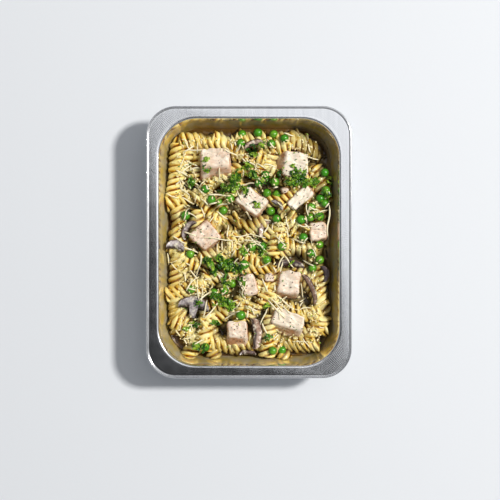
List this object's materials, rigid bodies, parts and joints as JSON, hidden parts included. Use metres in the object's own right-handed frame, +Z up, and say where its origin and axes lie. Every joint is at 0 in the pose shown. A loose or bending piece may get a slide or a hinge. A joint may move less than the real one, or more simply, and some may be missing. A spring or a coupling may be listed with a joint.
{
  "type": "foil tray meal",
  "caption": "Shallow foil tray with a rolled rim, filled with twisted pasta, roast chicken, peas and mushrooms in cream sauce.",
  "frame": {"origin": "centre of the tray's base, on the surface that it stands on", "axes": "+Z up out of the tray, +Y along its long side, +X along its short side"},
  "size_m": [0.173, 0.229, 0.04],
  "materials": {
    "foil": "smooth rolled foil with a satin ribbed flange",
    "pasta": "cooked pasta glossed with cream sauce",
    "chicken": "cut roast chicken breast, fibrous and slightly moist",
    "mushroom": "cooked mushroom slices, moist",
    "pea": "glossy cooked garden peas"
  },
  "bodies": {
    "root": {"chicken_01": "chicken", "chicken_02": "chicken", "chicken_03": "chicken", "chicken_04": "chicken", "chicken_05": "chicken", "chicken_06": "chicken", "chicken_07": "chicken", "chicken_08": "chicken", "chicken_09": "chicken", "chicken_10": "chicken", "chicken_11": "chicken", "chicken_12": "chicken", "foil_tray": "foil", "mushroom_01": "mushroom", "mushroom_02": "mushroom", "mushroom_03": "mushroom", "mushroom_04": "mushroom", "mushroom_05": "mushroom", "mushroom_06": "mushroom", "mushroom_07": "mushroom", "mushroom_08": "mushroom", "mushroom_09": "mushroom", "mushroom_10": "mushroom", "mushroom_11": "mushroom", "pasta_heap": "pasta", "pea_01": "pea", "pea_02": "pea", "pea_03": "pea", "pea_04": "pea", "pea_05": "pea", "pea_06": "pea", "pea_07": "pea", "pea_08": "pea", "pea_09": "pea", "pea_10": "pea", "pea_11": "pea", "pea_12": "pea", "pea_13": "pea", "pea_14": "pea", "pea_15": "pea", "pea_16": "pea", "pea_17": "pea", "pea_18": "pea", "pea_19": "pea", "pea_20": "pea", "pea_21": "pea", "pea_22": "pea", "pea_23": "pea", "pea_24": "pea", "pea_25": "pea", "pea_26": "pea", "pea_27": "pea", "pea_28": "pea", "pea_29": "pea", "pea_30": "pea", "pea_31": "pea", "pea_32": "pea", "pea_33": "pea", "pea_34": "pea", "pea_35": "pea"}
  },
  "joints": []
}
